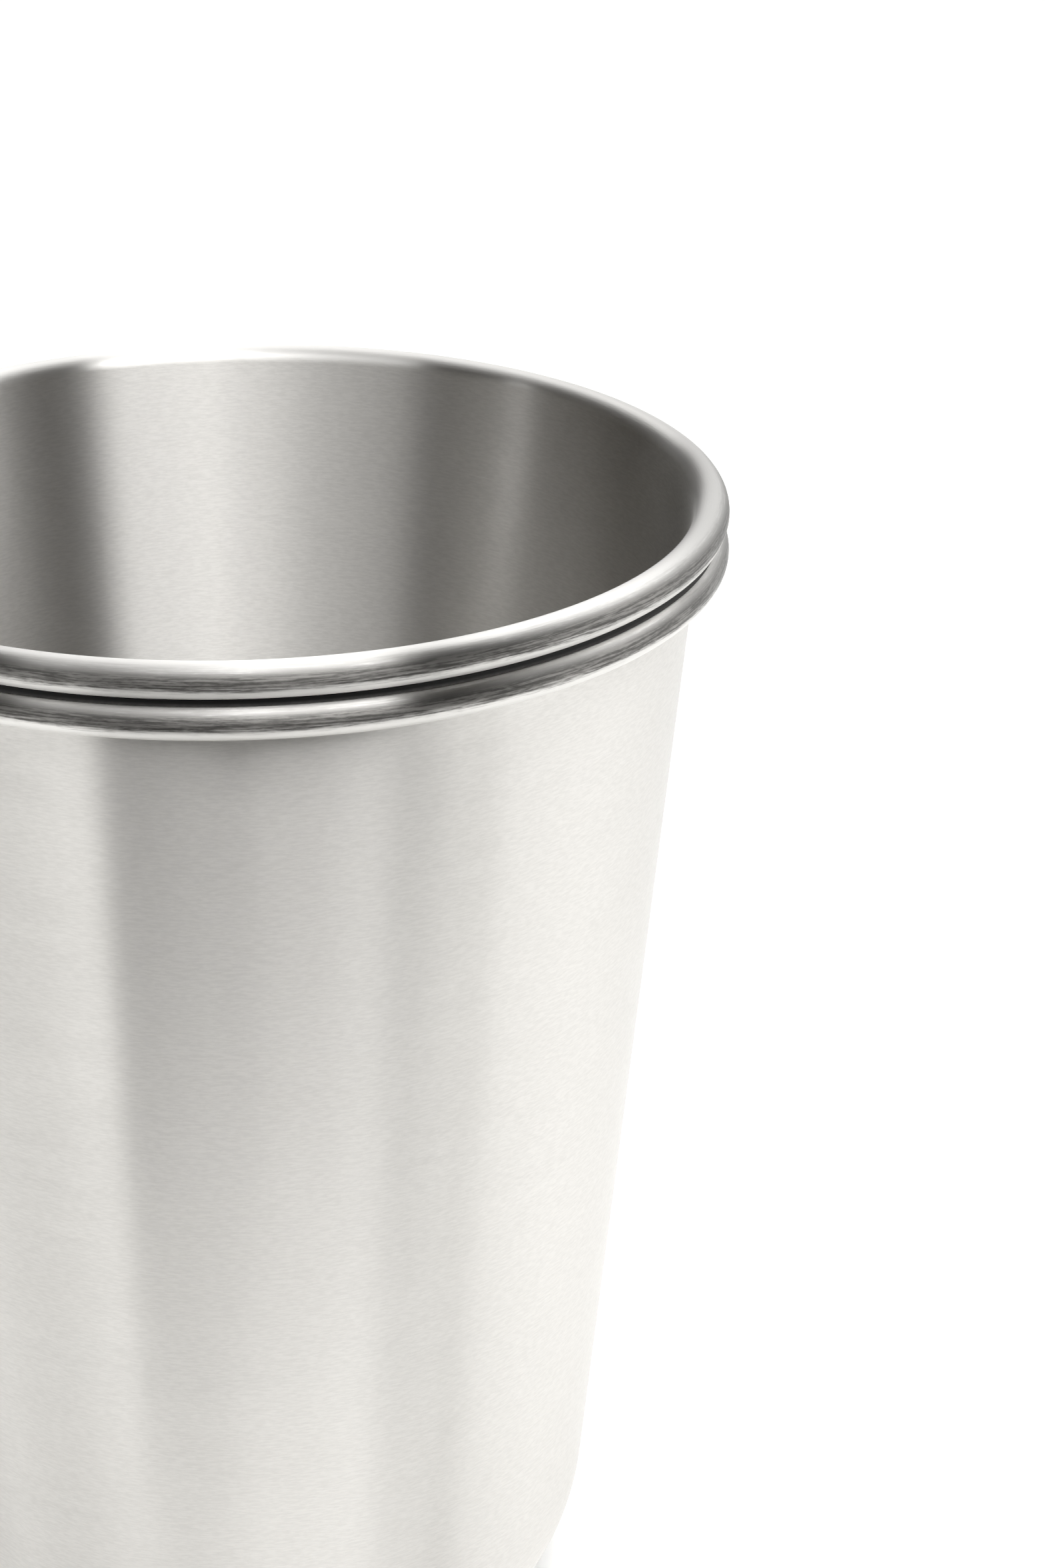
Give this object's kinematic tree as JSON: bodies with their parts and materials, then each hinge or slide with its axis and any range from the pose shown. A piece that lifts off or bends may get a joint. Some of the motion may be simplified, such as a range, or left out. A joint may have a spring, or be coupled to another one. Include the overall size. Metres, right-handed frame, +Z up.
{
  "type": "julep cup",
  "caption": "Tapered brushed-steel julep cup: a liner with a rolled rim hangs inside a matching outer shell, with a dark seal ring between the rims and a rounded base.",
  "frame": {"origin": "centre of the base, on the surface the cup stands on", "axes": "+Z up along the axis of the cup, from the base towards the mouth; the cup is round about Z"},
  "size_m": [0.083, 0.083, 0.105],
  "materials": {
    "shell_steel": "fine brushing around the wall, satin",
    "liner_steel": "fine brushing around the wall, brighter rolled rim",
    "seal_rubber": "matt black"
  },
  "bodies": {
    "root": {"outer_shell": "shell_steel", "inner_liner": "liner_steel", "rim_seal": "seal_rubber"}
  },
  "joints": []
}
